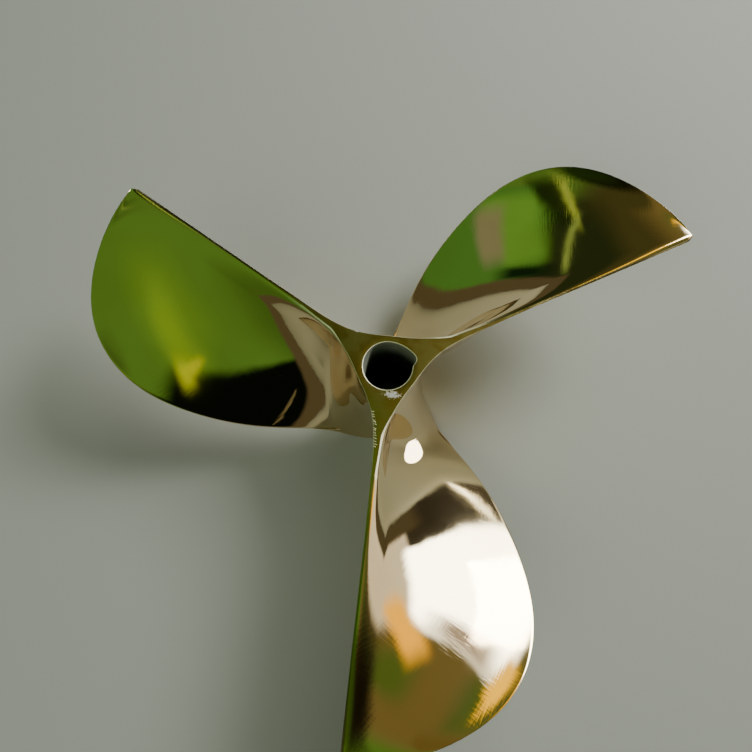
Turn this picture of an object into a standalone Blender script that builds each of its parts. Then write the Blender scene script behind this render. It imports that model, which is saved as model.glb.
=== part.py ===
"""Three-blade left-hand boat propeller, cast in one piece of bronze.

The part stands on the lower end of its hub. Its origin is on the shaft's axis at that end,
+Z runs up the shaft to the small end of the hub, and +X runs along the straight edge of the
blade that the keyway faces. All sizes are in metres and all angles in degrees.
"""
import math

import bmesh
import bpy
import numpy as np

# Hub
HUB_LENGTH = 0.091
HUB_RADIUS_TOP = 0.017
HUB_RADIUS_BOTTOM = 0.024

# Tapered bore for the shaft, and its keyway
BORE_RADIUS_TOP = 0.0131
BORE_RADIUS_BOTTOM = 0.0159
KEYWAY_WIDTH = 0.008
KEYWAY_DEPTH = 0.0022
KEYWAY_CORNER_RADIUS = 0.0013

# Blades: their number, reach and thickness
BLADE_COUNT = 3
TIP_RADIUS = 0.185
ROOT_THICKNESS = 0.0115
TIP_THICKNESS = 0.0026
STRAIGHT_EDGE_THICKNESS = 0.0019
ROUND_EDGE_THICKNESS = 0.0020

# Flat land along the top of each straight edge
LAND_WIDTH_ROOT = 0.0042
LAND_WIDTH_TIP = 0.0014

# Hollow of a blade's front face, deepest a third of the way down. It grows out from the hub's wall
# over a run, and from a radius on it fades towards the tip. The back bulges by a share of it
HOLLOW_DEPTH = 0.0084
HOLLOW_RUN = 0.021
HOLLOW_RADIUS = 0.036
HOLLOW_FADE = 0.043
HOLLOW_BACK_SHARE = 0.7

# Fillet between the hub's wall and a blade. It leaves the wall at an angle from the blade's
# middle line, and it hugs the corner more closely as the fullness nears 1
FILLET_REACH = 0.060
FILLET_START_TOP = 58.0
FILLET_START_BOTTOM = 27.0
FILLET_FULLNESS = 0.80
FILLET_PULL = 0.029

# Round edge of a blade, station by station from the tip to the hub: share of the way out from
# the hub's wall to the tip, sweep from the straight edge, share of the hub's length it has dropped
ROUND_EDGE_STATIONS = (
    (1.000, 0.8, 0.003),
    (0.969, 15.3, 0.066),
    (0.915, 26.0, 0.158),
    (0.831, 33.6, 0.275),
    (0.714, 39.5, 0.400),
    (0.559, 44.9, 0.520),
    (0.384, 50.7, 0.640),
    (0.227, 56.3, 0.755),
    (0.129, 62.0, 0.870),
    (0.069, 70.0, 0.963),
    (0.020, 83.0, 1.000),
    (0.000, 90.0, 1.000),
)

# Fineness of the mesh
LEVELS = 20
HUB_STEPS = 3
FILLET_STEPS = 9
BLADE_STEPS = 15
CURVE_STEPS = 12
BORE_SEGMENTS = 60
KEYWAY_CORNER_SEGMENTS = 4

# Edges that turn by more than this are shaded as sharp
SHARP_ANGLE = 35.0

# How far the cutters run past the faces they cut
CUTTER_OVERRUN = 0.005

# Finish of the polished bronze
BRONZE_COLOUR = (0.72, 0.52, 0.24, 1.0)
BRONZE_ROUGHNESS = 0.16


def clear_scene():
    """Remove every object that the scene holds."""
    for item in list(bpy.data.objects):
        bpy.data.objects.remove(item, do_unlink=True)


def new_collection(name):
    """Make a collection in the scene and return it."""
    collection = bpy.data.collections.new(name)
    bpy.context.scene.collection.children.link(collection)
    return collection


def bronze_material():
    """Polished cast bronze."""
    material = bpy.data.materials.new("polished_bronze")
    material.use_nodes = True
    shader = material.node_tree.nodes["Principled BSDF"]
    shader.inputs["Base Color"].default_value = BRONZE_COLOUR
    shader.inputs["Metallic"].default_value = 1.0
    shader.inputs["Roughness"].default_value = BRONZE_ROUGHNESS
    return material


def natural_spline(points, steps):
    """Smooth curve through all the points, with a number of steps in each span."""
    points = np.array(points)
    count = len(points)
    # Second derivatives at the points, with none at the two ends
    system = np.eye(count)
    known = np.zeros_like(points)
    for index in range(1, count - 1):
        system[index, index - 1:index + 2] = (1, 4, 1)
        known[index] = 6 * (points[index - 1] - 2 * points[index] + points[index + 1])
    bend = np.linalg.solve(system, known)
    curve = []
    for index in range(count - 1):
        for step in range(steps):
            t = step / steps
            curve.append((1 - t) * points[index] + t * points[index + 1]
                         + ((1 - t) ** 3 - (1 - t)) * bend[index] / 6
                         + (t ** 3 - t) * bend[index + 1] / 6)
    curve.append(points[-1])
    return np.array(curve)


def round_edge_curve():
    """Smooth curve through the round edge's stations, as radius, sweep and drop, hub first."""
    # A mirrored station before the tip makes the edge leave the tip square to the radius
    share, sweep, drop = ROUND_EDGE_STATIONS[1]
    mirrored = (share, 2 * ROUND_EDGE_STATIONS[0][1] - sweep, 2 * ROUND_EDGE_STATIONS[0][2] - drop)
    curve = natural_spline((mirrored,) + ROUND_EDGE_STATIONS, CURVE_STEPS)[CURVE_STEPS:]
    share, sweep, drop = curve[::-1].T
    radius = HUB_RADIUS_BOTTOM + share * (TIP_RADIUS - HUB_RADIUS_BOTTOM)
    # Between its last stations the smooth curve would dip below the hub's lower face
    return radius, np.radians(sweep), np.minimum(drop, 1.0) * HUB_LENGTH


ROUND_EDGE = round_edge_curve()


def sweep_and_drop(radius):
    """Turn and fall of a blade at a radius, from its straight edge to its round edge."""
    radii, sweeps, drops = ROUND_EDGE
    return np.interp(radius, radii, sweeps), np.interp(radius, radii, drops)


def hub_radius(level):
    """Radius of the hub's wall, where level runs from 0 at its top to 1 at its bottom."""
    return HUB_RADIUS_TOP + (HUB_RADIUS_BOTTOM - HUB_RADIUS_TOP) * level


def land_half_width(reach):
    """Half the width of the flat land at a distance from the axis, beyond the fillet."""
    inward = (TIP_RADIUS - reach) / (TIP_RADIUS - FILLET_REACH)
    return 0.5 * (LAND_WIDTH_TIP + (LAND_WIDTH_ROOT - LAND_WIDTH_TIP) * inward ** 2)


def arm_outline(level):
    """Front outline of one arm of the hub's star, from midway between two arms to the tip.

    The points are (along the arm, half the width across it). They follow the hub's wall, then a
    fillet, which is a Bezier curve that leaves along the wall and ends along the arm, and then
    the straight arm.
    """
    radius = hub_radius(level)
    narrowing = 1 - level
    half_sector = math.pi / BLADE_COUNT
    leaving = math.radians(FILLET_START_TOP + (FILLET_START_BOTTOM - FILLET_START_TOP) * level)
    points = []
    for step in range(HUB_STEPS):
        angle = half_sector + (leaving - half_sector) * step / HUB_STEPS
        points.append(radius * np.array((math.cos(angle), math.sin(angle))))
    start = radius * np.array((math.cos(leaving), math.sin(leaving)))
    end = np.array((FILLET_REACH, land_half_width(FILLET_REACH) * narrowing))
    # Along the wall, the arm's side lies this far ahead
    ahead = (start[1] - end[1]) / math.cos(leaving)
    handle_hub = start + FILLET_FULLNESS * ahead * np.array((math.sin(leaving), -math.cos(leaving)))
    handle_blade = end - FILLET_PULL * np.array((1.0, 0.0))
    for step in range(FILLET_STEPS):
        t = step / FILLET_STEPS
        points.append(start * (1 - t) ** 3 + handle_hub * 3 * t * (1 - t) ** 2
                      + handle_blade * 3 * t ** 2 * (1 - t) + end * t ** 3)
    # Steps shorten towards the tip, where the round edge turns quickly
    for step in range(BLADE_STEPS + 1):
        reach = FILLET_REACH + (TIP_RADIUS - FILLET_REACH) * math.sin(math.pi / 2 * step / BLADE_STEPS)
        points.append(np.array((reach, land_half_width(reach) * narrowing)))
    return points


def blade_thickness(radius, level, land_across):
    """Thickness square to the blade: thin at both edges and full between them."""
    outward = (radius - HUB_RADIUS_BOTTOM) / (TIP_RADIUS - HUB_RADIUS_BOTTOM)
    straight_edge = max(land_across, STRAIGHT_EDGE_THICKNESS)
    middle = ROOT_THICKNESS + (TIP_THICKNESS - ROOT_THICKNESS) * outward
    edges = straight_edge * (1 - level) + ROUND_EDGE_THICKNESS * level
    crown = middle - 0.5 * (straight_edge + ROUND_EDGE_THICKNESS)
    return edges + 4 * level * (1 - level) * crown


def eased(value):
    """Rise from 0 to 1 with no kink at either end."""
    t = min(1.0, max(0.0, value))
    return t ** 3 * (t * (6 * t - 15) + 10)


def hollow(radius, level):
    """Depth of the front face below a straight line from its upper to its lower edge."""
    grown = eased((radius - hub_radius(level)) / HOLLOW_RUN)
    fade = math.exp((HOLLOW_RADIUS - radius) / HOLLOW_FADE)
    # The factor 27/4 brings this curve to 1 where it is deepest, a third of the way down
    curve = 27 / 4 * level * (1 - level) ** 2
    return HOLLOW_DEPTH * grown * fade * curve


def section_points(level, reach, half_width):
    """Front and back point of one arm at a level, as (x, y, z) on the arm that lies along +X."""
    radius = math.hypot(reach, half_width)
    half_angle = math.atan2(half_width, reach)
    sweep, drop = sweep_and_drop(radius)
    height = HUB_LENGTH - drop * level
    slope = math.atan2(drop, radius * sweep)
    # The blade grows to its full thickness from the hub's wall to the end of the fillet
    wall = hub_radius(level)
    grown = eased((radius - wall) / (FILLET_REACH - wall))
    half_land = land_half_width(max(reach, FILLET_REACH))
    land_now = 2 * half_land * (1 - level) * math.sin(slope)
    thickness = blade_thickness(radius, level, 2 * half_land * math.sin(slope))
    scoop = hollow(radius, level)
    behind = (thickness - land_now) * grown + HOLLOW_BACK_SHARE * scoop
    front_angle = sweep * level + half_angle - scoop * math.sin(slope) / radius
    back_angle = sweep * level - half_angle - behind * math.sin(slope) / radius
    front_height = height - scoop * math.cos(slope)
    front = (radius * math.cos(front_angle), radius * math.sin(front_angle), front_height)
    # The back ends no lower than the hub's lower face
    back_height = max(0.0, height - behind * math.cos(slope))
    back = (radius * math.cos(back_angle), radius * math.sin(back_angle), back_height)
    return front, back


def turned(point, angle):
    """A point turned about the shaft's axis."""
    x, y, z = point
    return (x * math.cos(angle) - y * math.sin(angle), x * math.sin(angle) + y * math.cos(angle), z)


def level_ring(mesh, level):
    """Vertices of the closed line that runs round all the arms at one level.

    Each arm gives its back side from the hub out, then its front side from the tip in. The
    first back point is the neighbour's last front point, so it is made only once.
    """
    pairs = [section_points(level, reach, half) for reach, half in arm_outline(level)]
    backs = [back for front, back in pairs[1:]]
    fronts = [front for front, back in reversed(pairs)]
    ring = []
    for blade in range(BLADE_COUNT):
        angle = 2 * math.pi * blade / BLADE_COUNT
        ring += [mesh.verts.new(turned(point, angle)) for point in backs + fronts]
    return ring


def close_ring(mesh, ring, upwards):
    """Close one end of the casting: a strip along each arm and one face in the hub's middle."""
    arm_length = len(ring) // BLADE_COUNT
    middle = []
    for blade in range(BLADE_COUNT):
        first = blade * arm_length
        side_a = [ring[first - 1]] + ring[first:first + arm_length // 2]
        side_b = ring[first + arm_length // 2:first + arm_length][::-1]
        middle.append(side_a[0])
        for index in range(len(side_a) - 1):
            corners = (side_a[index], side_a[index + 1], side_b[index + 1], side_b[index])
            mesh.faces.new(corners if upwards else corners[::-1])
    mesh.faces.new(middle if upwards else middle[::-1])


def casting_mesh():
    """Hub and blades as one closed loft of rings from the top face to the round edges."""
    mesh = bmesh.new()
    rings = [level_ring(mesh, step / LEVELS) for step in range(LEVELS + 1)]
    for upper, lower in zip(rings, rings[1:]):
        for index in range(len(upper)):
            after = (index + 1) % len(upper)
            mesh.faces.new((upper[index], lower[index], lower[after], upper[after]))
    close_ring(mesh, rings[0], upwards=True)
    close_ring(mesh, rings[-1], upwards=False)
    bmesh.ops.recalc_face_normals(mesh, faces=mesh.faces)
    data = bpy.data.meshes.new("propeller_casting")
    mesh.to_mesh(data)
    mesh.free()
    data.shade_smooth()
    data.set_sharp_from_angle(angle=math.radians(SHARP_ANGLE))
    return data


def add_cutter(name, mesh, collection):
    """Put a cutter in its collection, as a wire guide that isn't rendered."""
    data = bpy.data.meshes.new(name)
    mesh.to_mesh(data)
    mesh.free()
    cutter = bpy.data.objects.new(name, data)
    cutter.hide_render = True
    cutter.display_type = "WIRE"
    collection.objects.link(cutter)
    return cutter


def bore_cutter(collection):
    """Tapered plug of the bore, run on past both ends at the same taper."""
    overrun_change = (BORE_RADIUS_BOTTOM - BORE_RADIUS_TOP) * CUTTER_OVERRUN / HUB_LENGTH
    mesh = bmesh.new()
    bmesh.ops.create_cone(mesh, cap_ends=True, segments=BORE_SEGMENTS,
                          radius1=BORE_RADIUS_BOTTOM + overrun_change,
                          radius2=BORE_RADIUS_TOP - overrun_change,
                          depth=HUB_LENGTH + 2 * CUTTER_OVERRUN)
    cutter = add_cutter("bore_cutter", mesh, collection)
    cutter.location.z = HUB_LENGTH / 2
    return cutter


def keyway_cutter(collection):
    """Bar with rounded long edges that leans with the bore's wall and cuts the keyway."""
    lean = math.atan2(BORE_RADIUS_BOTTOM - BORE_RADIUS_TOP, HUB_LENGTH)
    floor_radius = (BORE_RADIUS_TOP + BORE_RADIUS_BOTTOM) / 2 + KEYWAY_DEPTH
    mesh = bmesh.new()
    bmesh.ops.create_cube(mesh, size=1.0)
    bmesh.ops.scale(mesh, verts=mesh.verts,
                    vec=(floor_radius, KEYWAY_WIDTH, HUB_LENGTH + 2 * CUTTER_OVERRUN))
    bmesh.ops.translate(mesh, verts=mesh.verts, vec=(floor_radius / 2, 0, 0))
    outer_edges = [edge for edge in mesh.edges
                   if all(vert.co.x > floor_radius / 2 for vert in edge.verts)
                   and edge.verts[0].co.y * edge.verts[1].co.y > 0]
    bmesh.ops.bevel(mesh, geom=outer_edges, offset=KEYWAY_CORNER_RADIUS, affect="EDGES",
                    segments=KEYWAY_CORNER_SEGMENTS, profile=0.5, material=-1)
    cutter = add_cutter("keyway_cutter", mesh, collection)
    cutter.location.z = HUB_LENGTH / 2
    cutter.rotation_euler.y = -lean
    return cutter


def cut(target, cutter):
    """Take a cutter out of the casting."""
    modifier = target.modifiers.new(cutter.name, "BOOLEAN")
    modifier.operation = "DIFFERENCE"
    modifier.solver = "EXACT"
    modifier.object = cutter


def build():
    """Make the whole propeller."""
    clear_scene()
    parts = new_collection("boat_propeller")
    cutters = new_collection("boat_propeller_cutters")
    casting = bpy.data.objects.new("propeller_casting", casting_mesh())
    casting.data.materials.append(bronze_material())
    parts.objects.link(casting)
    cut(casting, bore_cutter(cutters))
    cut(casting, keyway_cutter(cutters))


build()
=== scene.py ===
"""Looks of a three-blade, left-hand boat propeller of polished cast bronze.

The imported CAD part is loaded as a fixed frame. One finely modelled casting stands for its only node.
The origin is on the shaft's axis at the lower end of the hub, +Z runs up the shaft to the small end
of the hub, and +X runs along the straight edge of the first blade. Sizes are in metres, and the angles
among them in degrees, but a turn is in radians.
"""
from __future__ import annotations

import logging
import math
import random
from dataclasses import dataclass, field
from enum import Enum
from typing import Callable

import bmesh
import bpy
import numpy as np
from mathutils import Matrix, Vector, noise


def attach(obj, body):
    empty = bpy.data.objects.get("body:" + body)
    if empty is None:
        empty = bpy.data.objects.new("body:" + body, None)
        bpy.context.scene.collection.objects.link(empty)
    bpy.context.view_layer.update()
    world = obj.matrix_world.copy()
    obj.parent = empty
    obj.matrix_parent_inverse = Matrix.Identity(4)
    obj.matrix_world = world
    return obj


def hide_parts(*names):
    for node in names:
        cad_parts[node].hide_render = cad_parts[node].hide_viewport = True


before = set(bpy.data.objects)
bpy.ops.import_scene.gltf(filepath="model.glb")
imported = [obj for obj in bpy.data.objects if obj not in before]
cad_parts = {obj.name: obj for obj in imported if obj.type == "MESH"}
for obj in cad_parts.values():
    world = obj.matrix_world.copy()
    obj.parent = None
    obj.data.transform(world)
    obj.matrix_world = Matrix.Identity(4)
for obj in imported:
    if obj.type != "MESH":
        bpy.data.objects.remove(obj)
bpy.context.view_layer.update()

LOG = logging.getLogger("propeller")

NODE = "propeller_casting"
BODY = "root"
FACE_MAP = "face_map"
FREEDOM = "freedom"
BLADE_COUNT = 3
TURN = 2 * math.pi / BLADE_COUNT

Colour = tuple[float, float, float, float]
Array = np.ndarray
Socket = bpy.types.NodeSocket
Node = bpy.types.Node
Tree = bpy.types.NodeTree


class Side(Enum):
    """The two faces of a blade."""

    FRONT = "front"
    BACK = "back"


class Finish(Enum):
    """Finishes of the casting, in the order of its material slots."""

    MIRROR = 0
    GROUND = 1
    BORED = 2
    RAW = 3


# Curves


def natural_spline(points: Array, steps: int) -> Array:
    """Smooth curve through all the points.

    Args:
        points: the points, one to a row.
        steps: number of steps in each span.

    Returns:
        The curve's points, one to a row.
    """
    count = len(points)
    system = np.eye(count)
    known = np.zeros_like(points)
    for index in range(1, count - 1):
        system[index, index - 1:index + 2] = (1, 4, 1)
        known[index] = 6 * (points[index - 1] - 2 * points[index] + points[index + 1])
    bend = np.linalg.solve(system, known)
    t = np.arange(steps)[:, None] / steps
    spans = [(1 - t) * points[i] + t * points[i + 1]
             + ((1 - t) ** 3 - (1 - t)) * bend[i] / 6 + (t ** 3 - t) * bend[i + 1] / 6
             for i in range(count - 1)]
    return np.vstack(spans + [points[-1:]])


def bezier(start: Array, corner: Array, end: Array, t: float) -> Array:
    """Point at t on the arc that rounds off a corner."""
    return start * (1 - t) ** 2 + corner * 2 * t * (1 - t) + end * t ** 2


def ease(value: Array) -> Array:
    """Rise from 0 to 1 with no kink at either end."""
    t = np.clip(value, 0.0, 1.0)
    return t ** 3 * (t * (6 * t - 15) + 10)


def unit(vectors: Array) -> Array:
    """Vectors along the last axis, brought to length 1."""
    return vectors / np.maximum(np.linalg.norm(vectors, axis=-1, keepdims=True), 1e-12)


@dataclass
class ArmForm:
    """Form of one arm of the casting: a blade with its sixth parts of the hub on both sides.

    A column is a line down the arm, from its straight upper edge to its round lower edge. Column 0
    runs down the hub midway between two arms, and the last one down the blade's tip. A level is the
    share of the way down a column.
    """

    hub_length: float = 0.091
    hub_radius_top: float = 0.017
    hub_radius_bottom: float = 0.024
    tip_radius: float = 0.185
    root_thickness: float = 0.0115
    tip_thickness: float = 0.0026
    straight_edge_thickness: float = 0.0019
    round_edge_thickness: float = 0.0020
    land_width_root: float = 0.0042
    land_width_tip: float = 0.0014
    fillet_reach: float = 0.060
    fillet_start_top: float = 58.0
    fillet_start_bottom: float = 27.0
    fillet_fullness: float = 0.80
    fillet_pull: float = 0.029
    hollow_depth: float = 0.0084
    hollow_run: float = 0.021
    hollow_radius: float = 0.036
    hollow_fade: float = 0.043
    hollow_back_share: float = 0.7
    roll_height: float = 0.00035
    roll_width: float = 0.012
    roll_from: float = 0.038
    roll_rise: float = 0.030
    roll_to: float = 0.140
    roll_fall: float = 0.040
    # Share of the way from the hub's wall to the tip, sweep, share of the hub's length dropped
    round_edge: tuple[tuple[float, float, float], ...] = (
        (1.000, 0.8, 0.003), (0.969, 15.3, 0.066), (0.915, 26.0, 0.158), (0.831, 33.6, 0.275),
        (0.714, 39.5, 0.400), (0.559, 44.9, 0.520), (0.384, 50.7, 0.640), (0.227, 56.3, 0.755),
        (0.129, 62.0, 0.870), (0.069, 70.0, 0.963), (0.020, 83.0, 1.000), (0.000, 90.0, 1.000))
    fillet_columns: int = 44
    blade_columns: int = 84
    # The larger this is, the closer the columns stand towards the tip
    tip_crowding: float = 0.24
    smoothing: float = 0.003
    table_levels: int = 61
    curve_steps: int = 60
    # Fineness of the outline before it is cut into columns
    wall_samples: int = 60
    fillet_samples: int = 300
    blade_samples: int = 400
    overrun_samples: int = 60
    sample_spacing: float = 0.00025
    edge_curve: tuple[Array, Array, Array] = field(init=False)
    plan: Array = field(init=False)

    def __post_init__(self) -> None:
        """Work out the round edge's curve and the arm's outline at each level."""
        self.edge_curve = self._edge_curve()
        levels = np.linspace(0.0, 1.0, self.table_levels)
        self.plan = np.stack([self._outline(level) for level in levels])

    @property
    def columns(self) -> int:
        """Number of columns on one side of the arm."""
        return self.fillet_columns + self.blade_columns

    def _edge_curve(self) -> tuple[Array, Array, Array]:
        """Curve of the round edge, from the hub to the tip.

        Returns:
            Radius, sweep in radians and drop at each of its points.
        """
        stations = np.array(self.round_edge)
        # A mirrored station before the tip makes the edge leave the tip square to the radius
        mirrored = stations[1] * (1, -1, -1) + stations[0] * (0, 2, 2)
        curve = natural_spline(np.vstack((mirrored, stations)), self.curve_steps)[self.curve_steps:]
        share, sweep, drop = curve[::-1].T
        radius = self.hub_radius_bottom + share * (self.tip_radius - self.hub_radius_bottom)
        return radius, np.radians(sweep), np.minimum(drop, 1.0) * self.hub_length

    def sweep_and_drop(self, radius: Array) -> tuple[Array, Array]:
        """Turn and fall of the blade at a radius, from its straight edge to its round edge."""
        radii, sweeps, drops = self.edge_curve
        return np.interp(radius, radii, sweeps), np.interp(radius, radii, drops)

    def hub_radius(self, level: Array) -> Array:
        """Radius of the hub's wall at a level."""
        return self.hub_radius_top + (self.hub_radius_bottom - self.hub_radius_top) * level

    def land_half_width(self, reach: Array) -> Array:
        """Half the width of the flat land at a distance from the axis, beyond the fillet."""
        inward = (self.tip_radius - reach) / (self.tip_radius - self.fillet_reach)
        return 0.5 * (self.land_width_tip + (self.land_width_root - self.land_width_tip) * inward ** 2)

    def _outline(self, level: float) -> Array:
        """Plan of the arm's front side at a level.

        Args:
            level: share of the way down, from 0 to 1.

        Returns:
            For each column, the distance along the arm and half the width across it.
        """
        radius = float(self.hub_radius(level))
        narrowing = 1 - level
        half_sector = TURN / 2
        leaving = math.radians(self.fillet_start_top
                               + (self.fillet_start_bottom - self.fillet_start_top) * level)
        arc = np.linspace(half_sector, leaving, self.wall_samples)[:-1, None]
        wall = radius * np.hstack((np.cos(arc), np.sin(arc)))
        start = radius * np.array((math.cos(leaving), math.sin(leaving)))
        end = np.array((self.fillet_reach, float(self.land_half_width(self.fillet_reach)) * narrowing))
        ahead = (start[1] - end[1]) / math.cos(leaving)
        along_wall = np.array((math.sin(leaving), -math.cos(leaving)))
        handle_hub = start + self.fillet_fullness * ahead * along_wall
        handle_blade = end - self.fillet_pull * np.array((1.0, 0.0))
        t = np.linspace(0, 1, self.fillet_samples)[:-1, None]
        fillet = (start * (1 - t) ** 3 + handle_hub * 3 * t * (1 - t) ** 2
                  + handle_blade * 3 * t ** 2 * (1 - t) + end * t ** 3)
        reach = np.linspace(self.fillet_reach, self.tip_radius, self.blade_samples)
        blade = np.column_stack((reach, self.land_half_width(reach) * narrowing))
        return self._columns_along(self._smoothed(np.vstack((wall, fillet, blade))))

    def _smoothed(self, line: Array) -> Array:
        """The line with its changes of bend softened, as hand polishing leaves them.

        The line is carried on beyond its ends before it is averaged: mirrored in the middle line
        between two arms, and straight on past the tip.

        Args:
            line: plan of one side, from the middle line between two arms to the tip.

        Returns:
            The softened line, as points about sample_spacing apart.
        """
        middle = np.array((math.cos(TURN / 2), math.sin(TURN / 2)))
        mirrored = 2 * (line @ middle)[:, None] * middle - line
        beyond = line[-1] + (line[-1] - line[-2]) * np.arange(1, self.overrun_samples)[:, None]
        whole = np.vstack((mirrored[:0:-1], line, beyond))
        lengths = np.concatenate(([0], np.cumsum(np.linalg.norm(np.diff(whole, axis=0), axis=1))))
        first, last = lengths[len(line) - 1], lengths[2 * len(line) - 2]
        spacing = self.sample_spacing
        stations = np.arange(first - 4 * self.smoothing, last + 4 * self.smoothing, spacing)
        even = np.column_stack([np.interp(stations, lengths, whole[:, axis]) for axis in (0, 1)])
        offsets = np.arange(-3 * self.smoothing, 3 * self.smoothing + spacing / 2, spacing)
        weights = np.exp(-0.5 * (offsets / self.smoothing) ** 2)
        weights /= weights.sum()
        soft = np.column_stack([np.convolve(even[:, axis], weights, "same") for axis in (0, 1)])
        kept = np.linspace(first, last, round((last - first) / spacing))
        return np.column_stack([np.interp(kept, stations, soft[:, axis]) for axis in (0, 1)])

    def _columns_along(self, line: Array) -> Array:
        """Points of the line at the columns, closest together where the round edge turns quickly.

        Args:
            line: softened plan of one side of the arm.

        Returns:
            For each column, the distance along the arm and half the width across it.
        """
        lengths = np.concatenate(([0], np.cumsum(np.linalg.norm(np.diff(line, axis=0), axis=1))))
        fillet_end = np.interp(self.fillet_reach, line[:, 0], lengths)
        hub_part = np.linspace(0, fillet_end, self.fillet_columns + 1)[:-1]
        near_hub = np.column_stack([np.interp(hub_part, lengths, line[:, axis]) for axis in (0, 1)])
        from_tip = np.arange(self.blade_columns - 1, -1, -1) / (self.blade_columns - 1)
        crowding = from_tip * (1 + self.tip_crowding) / (from_tip + self.tip_crowding)
        short = (self.tip_radius - self.fillet_reach) * from_tip * crowding
        reach = self.tip_radius - short
        half = self.land_half_width(reach)
        half *= line[-1, 1] / half[-1]
        joined = ease((reach - self.fillet_reach) / (5 * self.smoothing))
        half = half * joined + np.interp(reach, line[:, 0], line[:, 1]) * (1 - joined)
        return np.vstack((near_hub, np.column_stack((reach, half))))

    def plan_at(self, level: Array) -> tuple[Array, Array]:
        """Plan of the arm, with each column at its own level.

        Args:
            level: level of each column's point.

        Returns:
            The distances along the arm, and half the widths across it.
        """
        place = np.clip(level, 0, 1) * (self.table_levels - 1)
        lower = np.minimum(place.astype(int), self.table_levels - 2)
        share = (place - lower)[..., None]
        column = np.arange(self.columns)
        points = self.plan[lower, column] * (1 - share) + self.plan[lower + 1, column] * share
        return points[..., 0], points[..., 1]

    def surface(self, side: Side, level: Array) -> Array:
        """Points of one face of the arm.

        Args:
            side: which face.
            level: level of each column's point.

        Returns:
            The points as x, y, z, for the arm that lies along +X.
        """
        reach, half_width = self.plan_at(level)
        radius = np.hypot(reach, half_width)
        half_angle = np.arctan2(half_width, reach)
        sweep, drop = self.sweep_and_drop(radius)
        height = self.hub_length - drop * level
        slope = np.arctan2(drop, radius * sweep)
        scoop = self.hollow(radius, level)
        if side is Side.FRONT:
            scoop = scoop - self.roll(radius, level)
            angle = sweep * level + half_angle - scoop * np.sin(slope) / radius
            return self._polar(radius, angle, height - scoop * np.cos(slope))
        wall = self.hub_radius(level)
        grown = ease((radius - wall) / (self.fillet_reach - wall))
        land = 2 * self.land_half_width(np.maximum(reach, self.fillet_reach)) * np.sin(slope)
        behind = (self._thickness(radius, level, land) - land * (1 - level)) * grown
        behind = behind + self.hollow_back_share * scoop
        angle = sweep * level - half_angle - behind * np.sin(slope) / radius
        return self._polar(radius, angle, np.maximum(0.0, height - behind * np.cos(slope)))

    def hollow(self, radius: Array, level: Array) -> Array:
        """Depth of the front face below a straight line from its upper to its lower edge.

        Args:
            radius: distance of each point from the axis.
            level: level of each point.

        Returns:
            The depth at each point, square to the blade.
        """
        grown = ease((radius - self.hub_radius(level)) / self.hollow_run)
        fade = np.exp((self.hollow_radius - radius) / self.hollow_fade)
        # The factor 27/4 brings this curve to 1 where it is deepest, a third of the way down
        curve = 27 / 4 * level * (1 - level) ** 2
        return self.hollow_depth * grown * fade * curve

    def roll(self, radius: Array, level: Array) -> Array:
        """Height of the soft swelling that polishing leaves beside the straight edge.

        Args:
            radius: distance of each point from the axis.
            level: level of each point.

        Returns:
            The height at each point, square to the blade.
        """
        sweep, drop = self.sweep_and_drop(radius)
        share = np.clip(level * np.hypot(radius * sweep, drop) / self.roll_width, 0, 1)
        rise = ease((radius - self.roll_from) / self.roll_rise)
        fall = ease((self.roll_to - radius) / self.roll_fall)
        # The factor 27/4 brings this curve to 1 where it is highest, a third of the way across
        return self.roll_height * rise * fall * 27 / 4 * share * (1 - share) ** 2

    def _thickness(self, radius: Array, level: Array, land: Array) -> Array:
        """Thickness square to the blade: thin at both edges and full between them.

        Args:
            radius: distance of each point from the axis.
            level: level of each point.
            land: the land's width by each point, measured square to the blade.

        Returns:
            The thickness at each point.
        """
        outward = (radius - self.hub_radius_bottom) / (self.tip_radius - self.hub_radius_bottom)
        straight_edge = np.maximum(land, self.straight_edge_thickness)
        middle = self.root_thickness + (self.tip_thickness - self.root_thickness) * outward
        edges = straight_edge * (1 - level) + self.round_edge_thickness * level
        crown = middle - 0.5 * (straight_edge + self.round_edge_thickness)
        return edges + 4 * level * (1 - level) * crown

    def face_length(self) -> Array:
        """Length of the columns, from the straight edge to the round edge.

        Returns:
            One length for each column.
        """
        reach, half_width = self.plan_at(np.full(self.columns, 0.5))
        radius = np.hypot(reach, half_width)
        sweep, drop = self.sweep_and_drop(radius)
        return np.hypot(radius * sweep, drop)

    @staticmethod
    def _polar(radius: Array, angle: Array, height: Array) -> Array:
        """Points from their radius, angle in radians and height."""
        return np.stack((radius * np.cos(angle), radius * np.sin(angle), height), axis=-1)


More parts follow.
